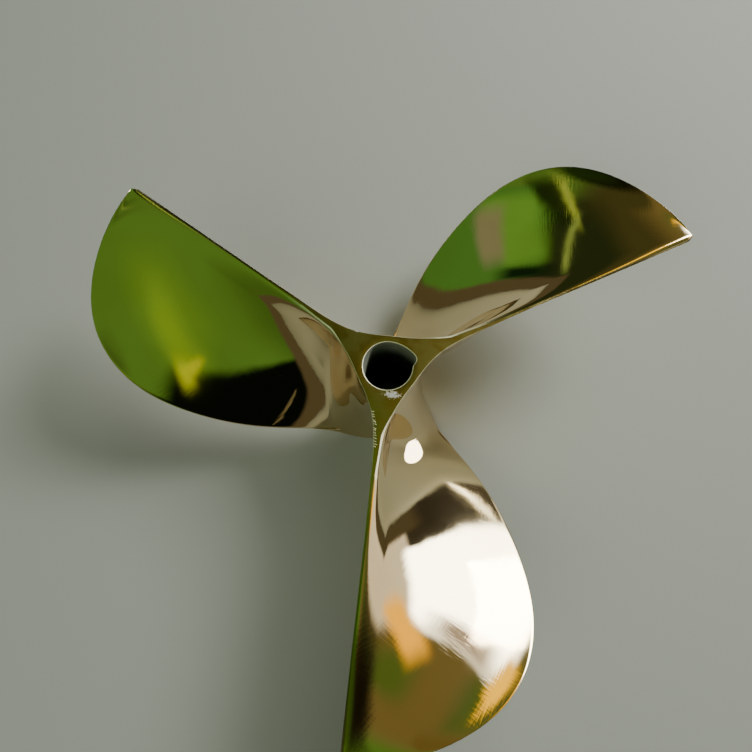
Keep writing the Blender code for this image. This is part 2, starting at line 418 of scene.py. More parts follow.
@dataclass
class ArmSheet:
    """The arm's form as a grid of points, with every edge rounded as filing and polishing leave it.

    The grid's columns run out along the back and return along the front. Its rows run from the
    middle of the flat upper land, over the straight edge, down the blade, round its lower edge and
    to the middle of that edge.
    """

    form: ArmForm
    band_rows: int = 8
    band_crowding: float = 1.6
    face_rows: int = 92
    lower_rows: int = 6
    tip_columns: int = 3
    collar_columns: int = 24
    collar_radius_top: float = 0.0163
    collar_radius_bottom: float = 0.0200
    rim_round: float = 0.00045
    # Rounding of the straight edge: share of the land and width on the face, then the same behind
    band_on_land: float = 0.80
    band_on_face: float = 0.0090
    back_on_land: float = 0.00035
    back_on_face: float = 0.0006
    # Where the rounding starts and over what run it grows, on the land and on the face
    land_band_from: float = 0.022
    land_band_run: float = 0.030
    face_band_from: float = 0.018
    face_band_run: float = 0.060
    face_band_at_tip: float = 0.12
    # Shares that the roundings may take of the room that there is for them
    land_share: float = 0.92
    collar_share: float = 0.8
    first_share: float = 0.25
    last_share: float = 0.35
    # The line on the land where the front's and the back's roundings meet
    middle_shift: float = 0.34
    middle_from: float = 0.040
    middle_run: float = 0.030
    middle_columns: int = 22
    round_edge_on_face: float = 0.0016
    round_edge_strip: float = 0.0012
    hub_edge_round: float = 0.0010
    tip_round: float = 0.0036
    tip_bulge: float = 0.0004
    filed_rows: tuple[int, int] = (3, 4)
    filed_columns: int = 62
    ground_rows: int = 3
    # Where the faces may wave: beyond the hub, short of the tip, and away from both edges
    free_from: float = 0.034
    free_run: float = 0.020
    free_tip_run: float = 0.025
    free_edge_share: float = 0.12
    map_gap: float = 0.02

    @property
    def rows(self) -> int:
        """Number of rows in the grid."""
        return 2 + self.band_rows + self.face_rows + self.lower_rows + 1

    def _targets(self, top: bool, front: Array, back: Array, side: Side) -> Array:
        """Where each column ends: on the collar round the bore, or on the arm's middle line.

        Args:
            top: whether the columns' upper ends are meant, or else the lower ones.
            front: the front face's edge at those ends.
            back: the back face's edge there.
            side: the side that the columns are on.

        Returns:
            One point for each column.
        """
        columns = np.arange(self.form.columns)
        radius = self.collar_radius_top if top else self.collar_radius_bottom
        turn = 0.0 if top else math.pi / 2
        share = np.clip(columns / self.collar_columns, 0, 1)
        away = TURN / 2 * (1 - share) * (1 if side is Side.FRONT else -1)
        height = np.full(self.form.columns, self.form.hub_length if top else 0.0)
        collar = np.stack((radius * np.cos(turn + away), radius * np.sin(turn + away), height), -1)
        share = self._middle_share(front[:, 0])[:, None] if top else 0.5
        middle = share * front + (1 - share) * back
        along = ease((columns - self.collar_columns) / self.middle_columns)[:, None]
        return collar * (1 - along) + middle * along

    def _middle_share(self, reach: Array) -> Array:
        """Where the land's two roundings meet, as a share of the way from its back to its front side."""
        return 0.5 - self.middle_shift * ease((reach - self.middle_from) / self.middle_run)

    def _inward(self, edge: Array, target: Array) -> Array:
        """Directions from an edge to the middle of the arm, square to the edge.

        Args:
            edge: points of the edge, one for each column.
            target: where each column ends.

        Returns:
            One unit vector for each column.
        """
        run = unit(np.gradient(edge, axis=0))
        aim = target - edge
        inward = unit(aim - np.sum(aim * run, axis=-1, keepdims=True) * run)
        # The first column is shared with the next arm, so it keeps to the line between them
        inward[0] = unit(aim[0])
        return inward

    def _band(self, side: Side, reach: Array, land: Array) -> tuple[Array, Array]:
        """Widths of the rounding along the straight edge.

        Args:
            side: the face that the rounding runs into.
            reach: distance of each column along the arm.
            land: width of the land at each column.

        Returns:
            The rounding's width on the land, and its width on the face.
        """
        grown = ease((reach - self.land_band_from) / self.land_band_run)
        room = self._middle_share(reach)
        if side is Side.FRONT:
            full_land, full_face, room = self.band_on_land * land, self.band_on_face, 1 - room
            rise = ease((reach - self.face_band_from) / self.face_band_run)
            fall = ease((self.form.tip_radius - reach) / self.face_band_run)
            wide = rise * (self.face_band_at_tip + (1 - self.face_band_at_tip) * fall)
        else:
            full_land, full_face, wide = self.back_on_land, self.back_on_face, grown
        on_land = self.rim_round + grown * (full_land - self.rim_round)
        on_face = self.hub_edge_round + wide * (full_face - self.hub_edge_round)
        return np.minimum(on_land, self.land_share * room * land), on_face

    def side_grid(self, side: Side) -> Array:
        """One side of the arm as a grid, with its edges rounded.

        Args:
            side: which side.

        Returns:
            The points, as rows of columns: rows run down, and columns from the hub to the tip.
        """
        form = self.form
        zero, one = np.zeros(form.columns), np.ones(form.columns)
        ends = []
        for top, level in ((True, zero), (False, one)):
            edge = form.surface(side, level)
            front, back = form.surface(Side.FRONT, level), form.surface(Side.BACK, level)
            target = self._targets(top, front, back, side)
            room = np.linalg.norm(target - edge, axis=-1)
            ends.append((edge, target, self._inward(edge, target), room))
        (edge_top, target_top, in_top, room_top), (edge_low, target_low, in_low, room_low) = ends
        reach, half_land = form.plan_at(zero)
        on_land, on_face = self._band(side, reach, 2 * half_land)
        on_land = np.minimum(on_land, self.collar_share * room_top)[:, None]
        on_strip = np.minimum(self.round_edge_strip, room_low)[:, None]
        length = form.face_length()
        first = np.minimum(on_face / length, self.first_share)
        last = 1 - np.minimum(self.round_edge_on_face / length, self.last_share)
        rows = [target_top]
        face_first = form.surface(side, first)
        for row in range(self.band_rows + 1):
            t = (row / self.band_rows) ** self.band_crowding
            rows.append(bezier(edge_top + in_top * on_land, edge_top, face_first, t))
        for row in range(1, self.face_rows + 1):
            rows.append(form.surface(side, first + (last - first) * row / self.face_rows))
        face_last = rows[-1]
        for row in range(1, self.lower_rows + 1):
            rows.append(bezier(face_last, edge_low, edge_low + in_low * on_strip, row / self.lower_rows))
        rows.append(target_low)
        return self._tip_rounded(np.stack(rows))

    def _tip_rounded(self, points: Array) -> Array:
        """The points with the corner between the straight edge and the tip rounded off.

        Near the corner, a square of the plan is warped so that its outer corner becomes an arc.

        Args:
            points: the grid of one side.

        Returns:
            The grid with that corner rounded.
        """
        size = self.tip_round
        radius = np.hypot(points[..., 0], points[..., 1])
        inward = self.form.tip_radius - radius
        across = points[..., 1] + 0.5 * self.form.land_width_tip
        out, side = np.clip(1 - inward / size, 0, 1), np.clip(1 - across / size, 0, 1)
        radius = radius - size * out * (1 - np.sqrt(1 - side ** 2 / 2))
        y = points[..., 1] + size * side * (1 - np.sqrt(1 - out ** 2 / 2))
        x = np.where(out > 0, np.sqrt(np.maximum(radius ** 2 - y ** 2, 0)), points[..., 0])
        return np.stack((x, np.where(out > 0, y, points[..., 1]), points[..., 2]), axis=-1)

    def grid(self) -> Array:
        """The whole arm as a grid, back and then front, with a rounded strip across its tip.

        Returns:
            The points, as rows of columns.
        """
        back = self.side_grid(Side.BACK)
        front = self.side_grid(Side.FRONT)
        tips = []
        for column in range(1, self.tip_columns + 1):
            t = column / (self.tip_columns + 1)
            point = back[:, -1] * (1 - t) + front[:, -1] * t
            bulge = self.tip_bulge * 4 * t * (1 - t)
            tips.append(point + bulge * unit(point * (1, 1, 0)))
        return np.concatenate((back, np.stack(tips, axis=1), front[:, ::-1]), axis=1)

    def freedom(self) -> Array:
        """How freely each point of the grid may wave.

        Returns:
            A number for each point: 1 on the open faces, and 0 at edges and on the hub.
        """
        reach = self.form.plan_at(np.full(self.form.columns, 0.5))[0]
        beyond_hub = ease((reach - self.free_from) / self.free_run)
        before_tip = ease((self.form.tip_radius - reach) / self.free_tip_run)
        share = (np.arange(self.rows) - 1 - self.band_rows) / self.face_rows
        inside = ease(share / self.free_edge_share) * ease((1 - share) / self.free_edge_share)
        side = inside[:, None] * beyond_hub * before_tip
        tips = np.zeros((self.rows, self.tip_columns))
        return np.concatenate((side, tips, side[:, ::-1]), axis=1)

    def finish_at(self, row: int, column: int) -> Finish:
        """The finish of one face: filed along the hub's edges, ground on the land, else polished.

        Args:
            row: the face's row in the grid.
            column: the face's column in the grid.

        Returns:
            The finish.
        """
        from_hub = min(column, 2 * self.form.columns + self.tip_columns - 2 - column)
        if row in self.filed_rows and from_hub < self.filed_columns:
            return Finish.RAW
        return Finish.GROUND if row < self.ground_rows else Finish.MIRROR

    def face_map(self) -> Array:
        """Flat map of the grid, in metres.

        Returns:
            For each point, its distance out along the blade and its distance across it.
        """
        reach = self.form.plan_at(np.full(self.form.columns, 0.5))[0]
        length = self.form.face_length()
        share = np.linspace(0, 1, self.rows)[:, None]
        side = np.stack(np.broadcast_arrays(reach[None, :], length[None, :] * share), axis=-1)
        tips = np.repeat(side[:, -1:], self.tip_columns, axis=1)
        return np.concatenate((side * (1, -1) - (0, self.map_gap), tips, side[:, ::-1]), axis=1)


@dataclass
class BoreTube:
    """The tapered bore with its keyway, between the collars of the arms' sheet."""

    sheet: ArmSheet
    radius_top: float = 0.0131
    radius_bottom: float = 0.0159
    columns: int = 144
    # Worn, sloping mouth on one side: its width, its depth, and the angles where it lies
    mouth: float = 0.0016
    mouth_drop: float = 0.0030
    mouth_azimuth: float = 142.0
    mouth_spread: float = 52.0
    rim_rows: int = 4
    wall_rows: int = 24
    # Angle from the first blade's straight edge, depth of the keyway there in millimetres
    keyway: tuple[tuple[float, float], ...] = (
        (-34.0, 0.0), (-27.0, 0.05), (-21.0, 0.75), (-15.0, 1.95), (-8.0, 2.45), (0.0, 2.20),
        (7.0, 1.60), (14.0, 1.10), (24.0, 0.60), (36.0, 0.22), (50.0, 0.0), (60.0, 0.0))
    keyway_steps: int = 12

    def keyway_depth(self, angle: Array) -> Array:
        """Depth of the keyway, in metres.

        Args:
            angle: where round the bore, in radians from the first blade's straight edge.

        Returns:
            The depth at each angle.
        """
        curve = natural_spline(np.array(self.keyway), self.keyway_steps)
        turned = (np.degrees(angle) + 180) % 360 - 180
        return np.maximum(np.interp(turned, curve[:, 0], curve[:, 1], left=0, right=0), 0) * 0.001

    def grid(self) -> Array:
        """The tube as a grid, with its worn mouth and its keyway.

        Returns:
            The points, as rows of columns: rows run from the upper collar down to the lower one.
        """
        angle = np.arange(self.columns + 1) * 2 * math.pi / self.columns
        depth = self.keyway_depth(angle)
        top, bottom = self.radius_top + depth, self.radius_bottom + depth
        high = np.full_like(angle, self.sheet.form.hub_length)
        low = np.zeros_like(angle)
        rim = self.sheet.rim_round
        away = (np.degrees(angle) - self.mouth_azimuth + 180) % 360 - 180
        worn = ease(1 - np.abs(away) / self.mouth_spread)
        throat, throat_height = top - self.mouth * worn, high - rim - self.mouth_drop * worn

        def ring(radius: Array, height: Array) -> Array:
            """Points right round the bore."""
            return np.stack((radius * np.cos(angle), radius * np.sin(angle), height), axis=-1)

        upper_rim = ring(top + rim, high), ring(top, high), ring(top, high - rim)
        lower_rim = ring(bottom, low + rim), ring(bottom, low), ring(bottom + rim, low)
        rows = [ring(np.full_like(angle, self.sheet.collar_radius_top), high)]
        rows += [bezier(*upper_rim, row / self.rim_rows) for row in range(self.rim_rows + 1)]
        for row in range(self.wall_rows + 1):
            share = row / self.wall_rows
            rows.append(ring(throat, throat_height) * (1 - share) + lower_rim[0] * share)
        rows += [bezier(*lower_rim, row / self.rim_rows) for row in range(1, self.rim_rows + 1)]
        rows.append(ring(np.full_like(angle, self.sheet.collar_radius_bottom), low))
        return np.stack(rows)

    def finish_at(self, row: int, column: int) -> Finish:
        """The finish of one face: ground on the collars, filed on the rims, bored on the wall.

        Args:
            row: the face's row in the grid.
            column: the face's column in the grid.

        Returns:
            The finish.
        """
        wall_start = 1 + self.rim_rows
        wall_end = wall_start + 1 + self.wall_rows
        if wall_start <= row < wall_end:
            return Finish.BORED
        return Finish.RAW if 1 <= row < wall_end + self.rim_rows else Finish.GROUND


def warped_grid(mesh: bmesh.types.BMesh, points: Array, uv: Array,
                finish_at: Callable[[int, int], Finish], freedom: Array | None = None
                ) -> list[bmesh.types.BMVert]:
    """Add a flat grid to a mesh and bend it on to the given points.

    Args:
        mesh: the mesh to add to.
        points: where each corner of the grid goes, as rows of columns.
        uv: flat map of the corners, as rows of columns.
        finish_at: gives the finish of the face below and beside a corner, from its row and column.
        freedom: how freely each corner may wave, or None for not at all.

    Returns:
        The new vertices.
    """
    rows, columns = points.shape[:2]
    free = mesh.verts.layers.float.get(FREEDOM) or mesh.verts.layers.float.new(FREEDOM)
    made = bmesh.ops.create_grid(mesh, x_segments=columns - 1, y_segments=rows - 1, size=0.5)
    layer = mesh.loops.layers.uv.get(FACE_MAP) or mesh.loops.layers.uv.new(FACE_MAP)
    place = {vert: (round((0.5 - vert.co.y) * (rows - 1)), round((vert.co.x + 0.5) * (columns - 1)))
             for vert in made["verts"]}
    for patch in {patch for vert in made["verts"] for patch in vert.link_faces}:
        corners = [place[loop.vert] for loop in patch.loops]
        patch.material_index = finish_at(*min(corners)).value
        for loop, corner in zip(patch.loops, corners):
            loop[layer].uv = uv[corner]
    for vert, corner in place.items():
        vert.co = Vector(points[corner])
        vert[free] = 0.0 if freedom is None else freedom[corner]
    return made["verts"]


@dataclass
class Casting:
    """The whole propeller casting: hub, three blades and the keyed bore."""

    form: ArmForm = field(default_factory=ArmForm)
    weld: float = 0.000004
    bore_map_width: float = 0.08
    # Height and length of the waves that hand polishing leaves
    waves: tuple[tuple[float, float], ...] = ((0.00006, 0.020), (0.000010, 0.007))

    def build(self, materials: list[bpy.types.Material]) -> bpy.types.Object:
        """Make the casting.

        Args:
            materials: one material for each finish.

        Returns:
            The finished object.
        """
        sheet = ArmSheet(self.form)
        tube = BoreTube(sheet)
        mesh = bmesh.new()
        points = sheet.grid()
        verts = warped_grid(mesh, points, sheet.face_map(), sheet.finish_at, sheet.freedom())
        LOG.info("one arm: %d by %d points", *points.shape[:2])
        arm = verts + list(mesh.edges) + list(mesh.faces)
        bmesh.ops.spin(mesh, geom=arm, cent=(0, 0, 0), axis=(0, 0, 1), dvec=(0, 0, 0),
                       angle=TURN * (BLADE_COUNT - 1), steps=BLADE_COUNT - 1,
                       use_merge=False, use_normal_flip=False, use_duplicate=True)
        bore = tube.grid()
        warped_grid(mesh, bore, self._tube_map(bore), tube.finish_at)
        bmesh.ops.remove_doubles(mesh, verts=mesh.verts, dist=self.weld)
        bmesh.ops.dissolve_degenerate(mesh, edges=mesh.edges, dist=self.weld)
        bmesh.ops.recalc_face_normals(mesh, faces=mesh.faces)
        self._wave(mesh)
        open_edges = sum(not edge.is_manifold for edge in mesh.edges)
        LOG.info("casting: %d faces, %d open edges", len(mesh.faces), open_edges)
        for patch in mesh.faces:
            patch.smooth = True
        data = bpy.data.meshes.new("bronze_casting")
        mesh.to_mesh(data)
        mesh.free()
        for material in materials:
            data.materials.append(material)
        return new_object("bronze_casting", data)

    def _wave(self, mesh: bmesh.types.BMesh) -> None:
        """Make the open faces slightly uneven, each blade in its own way.

        Args:
            mesh: the whole casting.
        """
        mesh.normal_update()
        free = mesh.verts.layers.float[FREEDOM]
        moved = [(vert, vert[free] * sum(height * noise.noise(vert.co / length)
                                         for height, length in self.waves))
                 for vert in mesh.verts if vert[free] > 0]
        for vert, offset in moved:
            vert.co += vert.normal * offset
        mesh.verts.layers.float.remove(free)

    def _tube_map(self, points: Array) -> Array:
        """Flat map of the bore: distance round it, and height."""
        around = np.linspace(0, self.bore_map_width, points.shape[1])[None, :]
        return np.stack(np.broadcast_arrays(around, points[..., 2]), axis=-1)


@dataclass
class Burrs:
    """Fine curled burrs that filing has left along the back edge of the third blade's land."""

    form: ArmForm
    blade: int = 2
    count: int = 14
    first_reach: float = 0.0255
    last_reach: float = 0.0430
    thickness: float = 0.00014
    sides: int = 6
    # How far a burr's foot stands in from the land's edge, and above the land
    off_edge: float = 0.0001
    jitter: float = 0.3
    shortest: float = 0.6
    most_lean: float = 14.0
    curl_radius: float = 0.0030
    curl: float = 38.0
    steps: int = 6
    seed: int = 11

    def build(self, material: bpy.types.Material) -> bpy.types.Object:
        """Make all the burrs as one object.

        Args:
            material: their finish.

        Returns:
            The finished object.
        """
        mesh = bmesh.new()
        chance = random.Random(self.seed)
        for index in range(self.count):
            share = (index + chance.uniform(-self.jitter, self.jitter)) / (self.count - 1)
            reach = self.first_reach + (self.last_reach - self.first_reach) * share
            length = chance.uniform(self.shortest, 1.0)
            self._burr(mesh, reach, length, chance.uniform(-self.most_lean, self.most_lean))
        self._fix_order(mesh)
        data = bpy.data.meshes.new("edge_burrs")
        mesh.to_mesh(data)
        mesh.free()
        data.materials.append(material)
        return new_object("edge_burrs", data)

    def _burr(self, mesh: bmesh.types.BMesh, reach: float, length: float, lean: float) -> None:
        """Add one burr: a thin ring swept along an arc and drawn to a point.

        Args:
            mesh: the mesh to add to.
            reach: distance of its foot along the arm.
            length: its share of a full curl.
            lean: how far it is turned in plan, in degrees.
        """
        half = float(np.interp(reach, *self.form.plan_at(np.zeros(self.form.columns))))
        made = bmesh.ops.create_circle(mesh, segments=self.sides, radius=self.thickness)
        bmesh.ops.rotate(mesh, verts=made["verts"], cent=(0, 0, 0),
                         matrix=Matrix.Rotation(math.radians(90), 3, "X"))
        # A dictionary drops doubles and keeps the order, which a set would change from run to run
        edges = list(dict.fromkeys(edge for vert in made["verts"] for edge in vert.link_edges))
        bmesh.ops.edgeloop_fill(mesh, edges=edges)
        swept = bmesh.ops.spin(mesh, geom=edges, cent=(self.curl_radius, 0, 0), axis=(0, 0, 1),
                               dvec=(0, 0, 0), angle=-math.radians(self.curl * length),
                               steps=self.steps, use_merge=False, use_normal_flip=False,
                               use_duplicate=False)
        end = [item for item in swept["geom_last"] if isinstance(item, bmesh.types.BMVert)]
        bmesh.ops.pointmerge(mesh, verts=end, merge_co=sum((vert.co for vert in end), Vector()) / len(end))
        verts = self._piece(made["verts"][0])
        bmesh.ops.rotate(mesh, verts=verts, cent=(0, 0, 0),
                         matrix=Matrix.Rotation(math.radians(lean), 3, "Z"))
        start = (reach, self.off_edge - half, self.form.hub_length + self.off_edge)
        bmesh.ops.translate(mesh, verts=verts, vec=start)
        bmesh.ops.rotate(mesh, verts=verts, cent=(0, 0, 0),
                         matrix=Matrix.Rotation(TURN * self.blade, 3, "Z"))

    @staticmethod
    def _fix_order(mesh: bmesh.types.BMesh) -> None:
        """Put edges and faces in the order of their vertices.

        The spin adds its vertices in the same order at each run, but its edges and faces in another.

        Args:
            mesh: the mesh of all the burrs.
        """
        mesh.verts.index_update()
        for parts in (mesh.edges, mesh.faces):
            ranked = sorted(parts, key=lambda part: sorted(vert.index for vert in part.verts))
            for place, part in enumerate(ranked):
                part.index = place
            parts.sort()

    @staticmethod
    def _piece(start: bmesh.types.BMVert) -> list[bmesh.types.BMVert]:
        """All the vertices joined to one.

        Args:
            start: any vertex of the piece.

        Returns:
            The piece's vertices, in no fixed order.
        """
        found = {start}
        waiting = [start]
        while waiting:
            for edge in waiting.pop().link_edges:
                for vert in edge.verts:
                    if vert not in found:
                        found.add(vert)
                        waiting.append(vert)
        return list(found)


def new_object(name: str, data: bpy.types.ID) -> bpy.types.Object:
    """Put an object in the scene, at the origin.

    Args:
        name: the object's name.
        data: its mesh, light or camera.

    Returns:
        The new object.
    """
    made = bpy.data.objects.new(name, data)
    bpy.context.scene.collection.objects.link(made)
    return made


# Materials


class Graph:
    """Short way to add nodes to a node tree and to join them."""

    def __init__(self, tree: Tree) -> None:
        """Keep the tree that the nodes go into."""
        self.tree = tree

    def node(self, kind: str, settings: dict[str, object] | None = None, **inputs: object) -> Node:
        """Add a node.

        Args:
            kind: Blender's name for the kind of node.
            settings: the node's own options.
            inputs: a constant or another node's output for each named input, with _ for a space.

        Returns:
            The new node.
        """
        made = self.tree.nodes.new(kind)
        for name, value in (settings or {}).items():
            setattr(made, name, value)
        for name, value in inputs.items():
            self.feed(made.inputs[name.replace("_", " ")], value)
        return made

    def feed(self, socket: Socket, value: object) -> None:
        """Give an input a constant, or join it to another node's output.

        Args:
            socket: the input.
            value: a constant, or another node's output.
        """
        if isinstance(value, Socket):
            self.tree.links.new(value, socket)
        else:
            socket.default_value = value

    def _operate(self, kind: str, operation: str, values: tuple[object, ...]) -> Node:
        """Add a math node of either kind, and feed its inputs in order.

        Args:
            kind: Blender's name for the kind of node.
            operation: what the node works out.
            values: a constant or another node's output for each input.

        Returns:
            The new node.
        """
        made = self.node(kind, {"operation": operation})
        for socket, value in zip(made.inputs, values):
            self.feed(socket, value)
        return made

    def math(self, operation: str, *values: object) -> Socket:
        """Result of a math node on one, two or three values."""
        return self._operate("ShaderNodeMath", operation, values).outputs[0]

    def vectors(self, operation: str, *values: object) -> Socket:
        """Vector that a math node makes of one or two vectors."""
        return self._operate("ShaderNodeVectorMath", operation, values).outputs["Vector"]

    def measure(self, operation: str, *values: object) -> Socket:
        """Number that a math node makes of one or two vectors, such as their dot product."""
        return self._operate("ShaderNodeVectorMath", operation, values).outputs["Value"]

    def ramp(self, value: object, low: object, high: object,
             start: object = 0.0, end: object = 1.0) -> Socket:
        """Smooth change from one value to another.

        Args:
            value: the value that drives the change.
            low: where the change begins.
            high: where it ends.
            start: the result up to low.
            end: the result from high on.

        Returns:
            The node's output.
        """
        made = self.node("ShaderNodeMapRange", {"interpolation_type": "SMOOTHSTEP"},
                         Value=value, From_Min=low, From_Max=high, To_Min=start, To_Max=end)
        return made.outputs["Result"]

    def blend(self, share: object, first: object, second: object) -> Socket:
        """Mix of two colours.

        Args:
            share: how much of the second colour there is, from 0 to 1.
            first: the first colour.
            second: the second colour.

        Returns:
            The mixed colour.
        """
        made = self.node("ShaderNodeMix", {"data_type": "RGBA"})
        # The node has a pair of inputs and an output for each kind of data; these are the colour's
        for index, value in ((0, share), (6, first), (7, second)):
            self.feed(made.inputs[index], value)
        return made.outputs[2]

    def group(self, tree: Tree, **inputs: object) -> Node:
        """Add a group node.

        Args:
            tree: the node group.
            inputs: a constant or another node's output for each named input, with _ for a space.

        Returns:
            The new node.
        """
        made = self.node("ShaderNodeGroup", {"node_tree": tree})
        for name, value in inputs.items():
            self.feed(made.inputs[name.replace("_", " ")], value)
        return made


class Shared(Enum):
    """Effects that several materials share, as node groups."""

    POLISH_LINES = "polish_lines"
    PITS = "pits"
    CLOUDS = "clouds"
    SMUDGE = "smudge"
    OUTWARD = "outward"
    SOFT_PANEL = "soft_panel"


Sockets = dict[str, str]
Made = dict[str, Socket]


def new_group(name: Shared, inputs: Sockets, outputs: Sockets,
              fill: Callable[[Graph, Node], Made]) -> Tree:
    """Make a shader node group, or return the one made before.

    Args:
        name: which effect.
        inputs: kind of each named input.
        outputs: kind of each named output.
        fill: adds the nodes, and returns what each output shows.

    Returns:
        The group.
    """
    if name.value in bpy.data.node_groups:
        return bpy.data.node_groups[name.value]
    tree = bpy.data.node_groups.new(name.value, "ShaderNodeTree")
    for socket, kind in inputs.items():
        tree.interface.new_socket(socket, in_out="INPUT", socket_type=kind)
    for socket, kind in outputs.items():
        tree.interface.new_socket(socket, in_out="OUTPUT", socket_type=kind)
    graph = Graph(tree)
    made = fill(graph, graph.node("NodeGroupInput"))
    result = graph.node("NodeGroupOutput")
    for socket, value in made.items():
        graph.feed(result.inputs[socket], value)
    return tree


VALUE = "NodeSocketFloat"
VECTOR = "NodeSocketVector"


def polish_lines() -> Tree:
    """Fine straight scratches that cross each other in patches, as a hand-held polishing wheel leaves.

    Returns:
        The node group.
    """

    def fill(graph: Graph, given: Node) -> Made:
        """Add the group's nodes.

        Args:
            graph: the group's tree.
            given: the node that holds the group's inputs.

        Returns:
            What each output shows.
        """
        place = given.outputs["Vector"]
        both = []
        for turn, shift in ((0.72, 3.1), (-0.86, 11.7)):
            turned = graph.node("ShaderNodeVectorRotate", {"rotation_type": "AXIS_ANGLE"},
                                Vector=place, Angle=turn)
            stretched = graph.node("ShaderNodeMapping", {"vector_type": "POINT"},
                                   Vector=turned.outputs[0], Location=(shift, shift, 0.0))
            graph.feed(stretched.inputs["Scale"], (90.0, 950.0, 1.0))
            lines = graph.node("ShaderNodeTexNoise", {"noise_dimensions": "2D"},
                               Vector=stretched.outputs[0], Scale=1.0, Detail=2.0, Roughness=0.6)
            patch = graph.node("ShaderNodeTexNoise", {"noise_dimensions": "3D"},
                               Vector=place, Scale=38.0 + shift, Detail=1.0)
            worked = graph.ramp(patch.outputs["Fac"], 0.40, 0.66)
            ridge = graph.ramp(lines.outputs["Fac"], 0.30, 0.72, -0.5, 0.5)
            both.append(graph.math("MULTIPLY", ridge, worked))
        height = graph.math("ADD", *both)
        return {"Height": graph.math("MULTIPLY", height, given.outputs["Amount"])}

    return new_group(Shared.POLISH_LINES, {"Vector": VECTOR, "Amount": VALUE}, {"Height": VALUE}, fill)


def pits() -> Tree:
    """Scattered tiny casting pits: a height that dips in each, and a mask of them.

    Returns:
        The node group.
    """

    def fill(graph: Graph, given: Node) -> Made:
        """Add the group's nodes.

        Args:
            graph: the group's tree.
            given: the node that holds the group's inputs.

        Returns:
            What each output shows.
        """
        cells = graph.node("ShaderNodeTexVoronoi", {"feature": "F1"},
                           Vector=given.outputs["Vector"], Scale=given.outputs["Density"])
        chance = graph.node("ShaderNodeSeparateColor", Color=cells.outputs["Color"]).outputs[0]
        chosen = graph.math("LESS_THAN", chance, given.outputs["Share"])
        near = graph.ramp(cells.outputs["Distance"], 0.0, given.outputs["Radius"], 1.0, 0.0)
        mask = graph.math("MULTIPLY", near, chosen)
        return {"Height": graph.math("MULTIPLY", mask, -1.0), "Mask": mask}

    return new_group(Shared.PITS,
                     {"Vector": VECTOR, "Density": VALUE, "Share": VALUE, "Radius": VALUE},
                     {"Height": VALUE, "Mask": VALUE}, fill)


def clouds() -> Tree:
    """Soft uneven patches in two sizes, for colour and gloss.

    Returns:
        The node group.
    """

    def fill(graph: Graph, given: Node) -> Made:
        """Add the group's nodes.

        Args:
            graph: the group's tree.
            given: the node that holds the group's inputs.

        Returns:
            What each output shows.
        """
        broad = graph.node("ShaderNodeTexNoise", Vector=given.outputs["Vector"],
                           Scale=given.outputs["Scale"], Detail=3.0, Roughness=0.55, Distortion=0.4)
        finer = graph.math("MULTIPLY", given.outputs["Scale"], 7.0)
        fine = graph.node("ShaderNodeTexNoise", Vector=given.outputs["Vector"], Scale=finer,
                          Detail=4.0, Roughness=0.65)
        return {"Broad": graph.ramp(broad.outputs["Fac"], 0.32, 0.68),
                "Fine": graph.ramp(fine.outputs["Fac"], 0.35, 0.65)}

    return new_group(Shared.CLOUDS, {"Vector": VECTOR, "Scale": VALUE},
                     {"Broad": VALUE, "Fine": VALUE}, fill)


def smudge() -> Tree:
    """Mask of one broken-edged spot at a place on the object, with its length along a direction.

    Returns:
        The node group.
    """

    def fill(graph: Graph, given: Node) -> Made:
        """Add the group's nodes.

        Args:
            graph: the group's tree.
            given: the node that holds the group's inputs.

        Returns:
            What each output shows.
        """
        away = graph.vectors("SUBTRACT", given.outputs["Vector"], given.outputs["Centre"])
        sides = [graph.math("DIVIDE", graph.measure("DOT_PRODUCT", away, given.outputs[axis]),
                            given.outputs[size])
                 for axis, size in (("Along", "Length"), ("Across", "Width"))]
        squares = [graph.math("MULTIPLY", side, side) for side in sides]
        reach = graph.math("SQRT", graph.math("ADD", *squares))
        grain = graph.node("ShaderNodeTexNoise", Vector=given.outputs["Vector"], Scale=900.0,
                           Detail=4.0, Roughness=0.7)
        uneven = graph.math("SUBTRACT", grain.outputs["Fac"], 0.5)
        rough = graph.math("ADD", reach, graph.math("MULTIPLY", uneven, given.outputs["Grain"]))
        return {"Mask": graph.ramp(rough, 0.35, 0.80, 1.0, 0.0)}

    return new_group(Shared.SMUDGE,
                     {"Vector": VECTOR, "Centre": VECTOR, "Along": VECTOR, "Across": VECTOR,
                      "Length": VALUE, "Width": VALUE, "Grain": VALUE}, {"Mask": VALUE}, fill)


def away_from_axis() -> Tree:
    """Mask that rises with the distance from the shaft's axis.

    Returns:
        The node group.
    """

    def fill(graph: Graph, given: Node) -> Made:
        """Add the group's nodes.

        Args:
            graph: the group's tree.
            given: the node that holds the group's inputs.

        Returns:
            What each output shows.
        """
        reach = graph.measure("LENGTH", graph.vectors("MULTIPLY", given.outputs["Vector"], (1.0, 1.0, 0.0)))
        return {"Mask": graph.ramp(reach, given.outputs["From"], given.outputs["To"])}

    return new_group(Shared.OUTWARD, {"Vector": VECTOR, "From": VALUE, "To": VALUE},
                     {"Mask": VALUE}, fill)


PIT_COLOUR: Colour = (0.10, 0.07, 0.04, 1.0)
CHALK: Colour = (0.72, 0.72, 0.68, 1.0)
# Colours of painted dark reflections on the polished blades
PAINTED_DIM_REFLECTION: Colour = (0.30, 0.21, 0.12, 1.0)
PAINTED_DARK_REFLECTION: Colour = (0.12, 0.10, 0.06, 1.0)


@dataclass(frozen=True)
class Mark:
    """One spot on a finish: pale chalk, or a painted dark reflection that leaves the gloss as it is.

    Its heading is the angle from +X to its length, in plan, and its grain is how broken its edge is.
    """

    centre: tuple[float, float, float]
    heading: float
    length: float
    width: float
    colour: Colour = CHALK
    chalky: bool = True
    grain: float = 3.2


